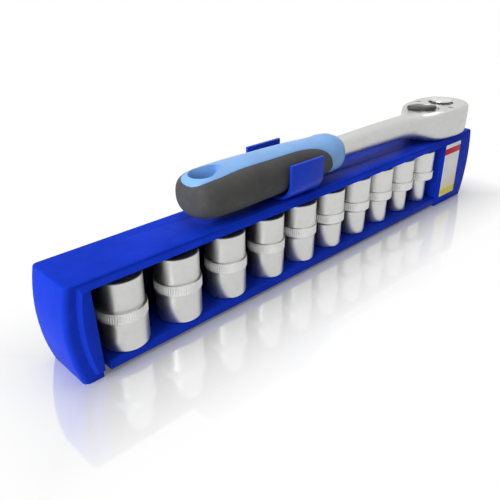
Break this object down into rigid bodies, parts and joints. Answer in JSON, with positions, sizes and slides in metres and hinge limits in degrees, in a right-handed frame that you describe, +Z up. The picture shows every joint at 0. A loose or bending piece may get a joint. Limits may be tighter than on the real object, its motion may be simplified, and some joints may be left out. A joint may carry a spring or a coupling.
{
  "type": "socket wrench set in case",
  "caption": "Socket wrench set in a long blue rail case: chrome sockets stand in an open-fronted tray, and a reversible ratchet with a two-tone handle lies clipped on the deck.",
  "frame": {"origin": "middle of the base, on the surface the case stands on", "axes": "+X along the case towards the ratchet's head, -Y out of the open front, +Z up"},
  "size_m": [0.369, 0.0408, 0.0832],
  "materials": {
    "case_blue": "moulded, slight sheen",
    "tray_blue": "moulded",
    "label_white": "printed film, plain",
    "socket_chrome": "satin chrome",
    "ratchet_chrome": "satin chrome",
    "steel_dark": "oiled",
    "lever_dark": "dark finish",
    "handle_blue": "moulded",
    "grip_grey": "soft, matt"
  },
  "bodies": {
    "case": {"case_shell": "case_blue", "socket_tray": "tray_blue", "divider_rack": "tray_blue", "label_plate": "label_white", "tool_clip": "case_blue"},
    "ratchet": {"ratchet_forging": "ratchet_chrome", "handle_core": "handle_blue", "grip_inlay": "grip_grey", "head_cover": "ratchet_chrome", "cover_screws": "steel_dark"},
    "drive": {"drive_gear": "steel_dark", "release_spring": "steel_dark"},
    "button": {"release_button": "ratchet_chrome"},
    "ball": {"retaining_ball": "steel_dark"},
    "lever": {"reversing_lever": "lever_dark", "pawl_plunger": "steel_dark", "plunger_spring": "steel_dark"},
    "pawl": {"pawl": "steel_dark"},
    "socket_19": {"socket_19mm": "socket_chrome"},
    "socket_18": {"socket_18mm": "socket_chrome"},
    "socket_17": {"socket_17mm": "socket_chrome"},
    "socket_16": {"socket_16mm": "socket_chrome"},
    "socket_15": {"socket_15mm": "socket_chrome"},
    "socket_14": {"socket_14mm": "socket_chrome"},
    "socket_13": {"socket_13mm": "socket_chrome"},
    "socket_12": {"socket_12mm": "socket_chrome"},
    "socket_10": {"socket_10mm": "socket_chrome"},
    "socket_8": {"socket_8mm": "socket_chrome"}
  },
  "joints": [
    {"name": "ratchet_lift", "type": "slide", "parent": "case", "child": "ratchet", "axis": [0, 0, 1], "range_m": [0, 0.06]},
    {"name": "drive_spin", "type": "hinge", "parent": "ratchet", "child": "drive", "pos_m": [0.1515, 0, 0.06], "axis": [0, 0, 1], "continuous": true},
    {"name": "button_press", "type": "slide", "parent": "drive", "child": "button", "axis": [0, 0, -1], "range_m": [0, 0.0025], "stiffness_N_per_m": 600, "springref_m": -0.002, "deforming": ["release_spring"]},
    {"name": "ball_retract", "type": "slide", "parent": "drive", "child": "ball", "axis": [0, 1, 0], "range_m": [0, 0.0006]},
    {"name": "lever_turn", "type": "hinge", "parent": "ratchet", "child": "lever", "pos_m": [0.1256, 0, 0.079], "axis": [0, 0, 1], "range_deg": [0, 90]},
    {"name": "pawl_rock", "type": "hinge", "parent": "ratchet", "child": "pawl", "pos_m": [0.1515, 0, 0.067], "axis": [0, 0, 1], "range_deg": [-8, 0]},
    {"name": "socket_19_pull", "type": "slide", "parent": "case", "child": "socket_19", "axis": [0, -1, 0], "range_m": [0, 0.045]},
    {"name": "socket_18_pull", "type": "slide", "parent": "case", "child": "socket_18", "axis": [0, -1, 0], "range_m": [0, 0.045]},
    {"name": "socket_17_pull", "type": "slide", "parent": "case", "child": "socket_17", "axis": [0, -1, 0], "range_m": [0, 0.045]},
    {"name": "socket_16_pull", "type": "slide", "parent": "case", "child": "socket_16", "axis": [0, -1, 0], "range_m": [0, 0.045]},
    {"name": "socket_15_pull", "type": "slide", "parent": "case", "child": "socket_15", "axis": [0, -1, 0], "range_m": [0, 0.045]},
    {"name": "socket_14_pull", "type": "slide", "parent": "case", "child": "socket_14", "axis": [0, -1, 0], "range_m": [0, 0.045]},
    {"name": "socket_13_pull", "type": "slide", "parent": "case", "child": "socket_13", "axis": [0, -1, 0], "range_m": [0, 0.045]},
    {"name": "socket_12_pull", "type": "slide", "parent": "case", "child": "socket_12", "axis": [0, -1, 0], "range_m": [0, 0.045]},
    {"name": "socket_10_pull", "type": "slide", "parent": "case", "child": "socket_10", "axis": [0, -1, 0], "range_m": [0, 0.045]},
    {"name": "socket_8_pull", "type": "slide", "parent": "case", "child": "socket_8", "axis": [0, -1, 0], "range_m": [0, 0.045]}
  ],
  "couplings": [
    {"joint": "pawl_rock", "follows": "lever_turn", "ratio": -0.0888},
    {"joint": "ball_retract", "follows": "button_press", "ratio": 0.24}
  ]
}
